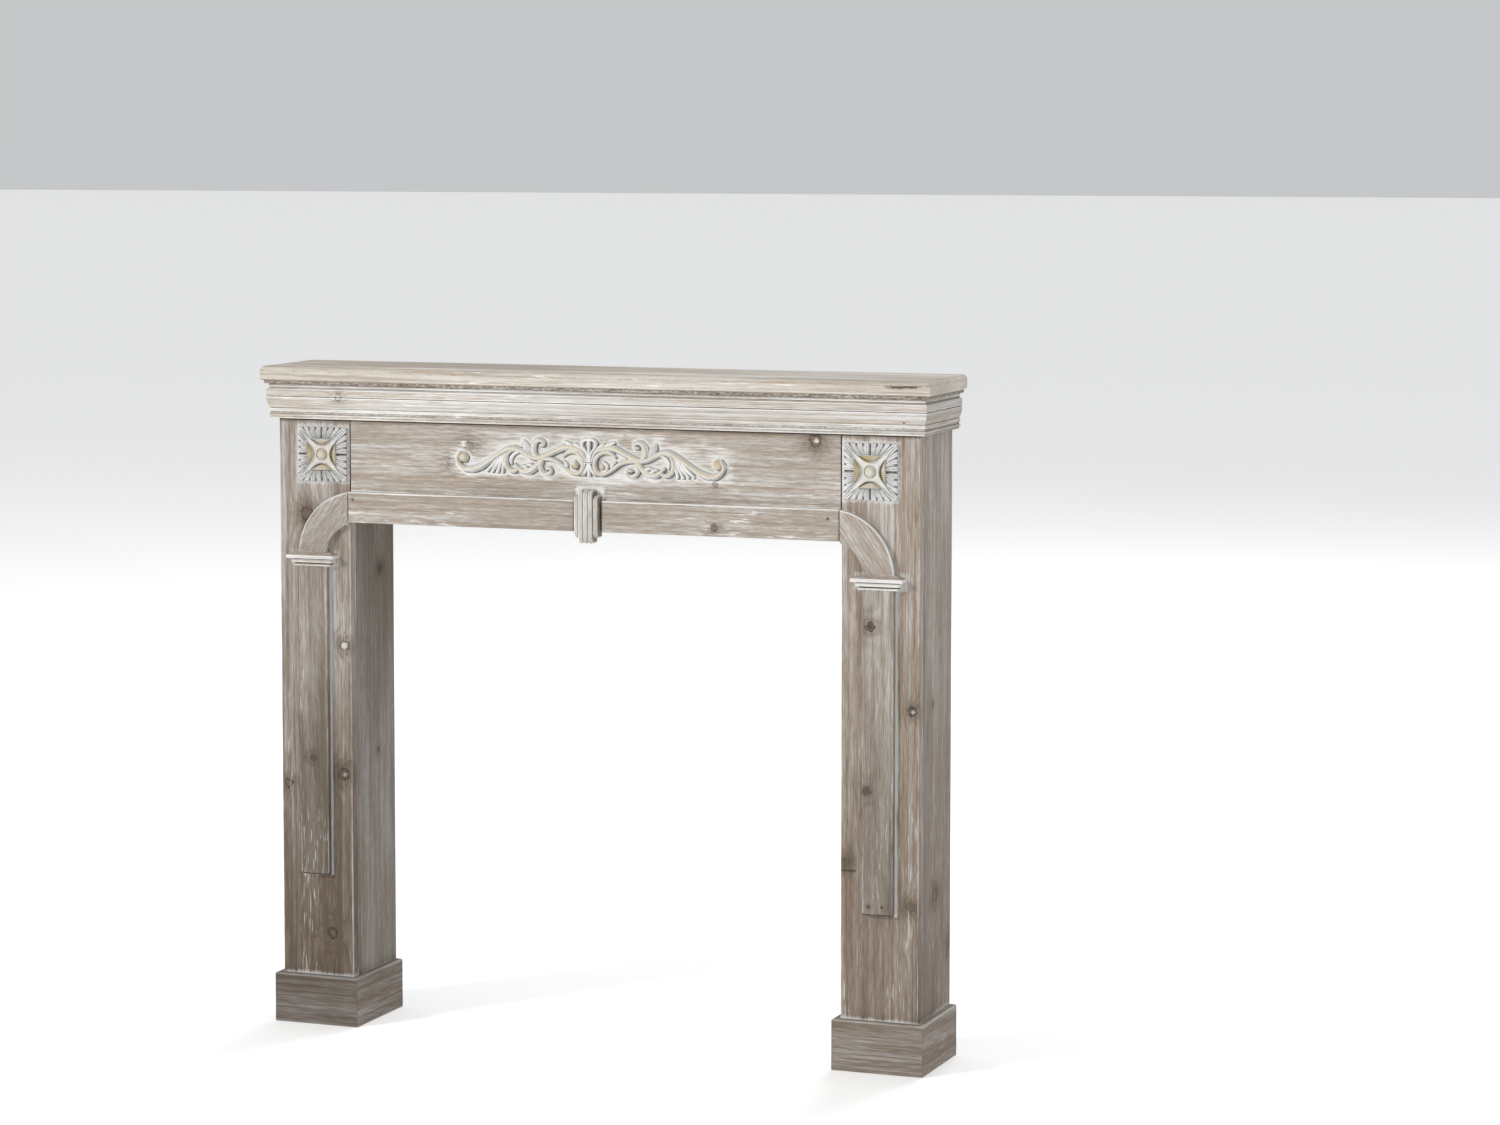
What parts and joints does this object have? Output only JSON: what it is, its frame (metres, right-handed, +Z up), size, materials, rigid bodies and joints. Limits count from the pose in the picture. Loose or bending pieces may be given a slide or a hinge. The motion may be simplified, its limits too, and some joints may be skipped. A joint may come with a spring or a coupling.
{
  "type": "fireplace mantelpiece",
  "caption": "Wooden fireplace surround with hollow legs on plinths, a moulded shelf and crown, carved corner rosettes, a scroll ornament and a reeded keystone",
  "frame": {"origin": "Centre of the bounding box in X and Y, on the floor plane at the feet", "axes": "X runs along the shelf, +Y points to the wall behind, +Z points up; the carved front faces -Y"},
  "size_m": [1.057, 0.173, 1],
  "materials": {
    "shelf_wood": "limewashed, matte, worn front edge",
    "crown_wood": "limewashed, matte",
    "frieze_wood": "limewashed, matte, open grain",
    "band_wood": "limewashed, matte, rubbed arrises",
    "stile_wood": "limewashed, matte, browner to the foot",
    "side_wood": "limewashed, matte",
    "plinth_wood": "limewashed, matte",
    "carved_wood": "limewashed with ochre rubbed highs, matte"
  },
  "bodies": {
    "root": {"shelf": "shelf_wood", "crown_front": "crown_wood", "crown_left": "crown_wood", "crown_right": "crown_wood", "frieze_board": "frieze_wood", "arch_rail_left": "band_wood", "arch_rail_right": "band_wood", "keystone": "band_wood", "scroll_ornament": "carved_wood", "arch_quadrant_left": "band_wood", "arch_quadrant_right": "band_wood", "capital_left": "band_wood", "capital_right": "band_wood", "pilaster_strip_left": "band_wood", "pilaster_strip_right": "band_wood", "rosette_left": "carved_wood", "rosette_right": "carved_wood", "stile_left": "stile_wood", "stile_right": "stile_wood", "side_outer_left": "side_wood", "side_outer_right": "side_wood", "side_inner_left": "side_wood", "side_inner_right": "side_wood", "plinth_front_left": "plinth_wood", "plinth_front_right": "plinth_wood", "plinth_outer_left": "plinth_wood", "plinth_outer_right": "plinth_wood", "plinth_inner_left": "plinth_wood", "plinth_inner_right": "plinth_wood"}
  },
  "joints": []
}
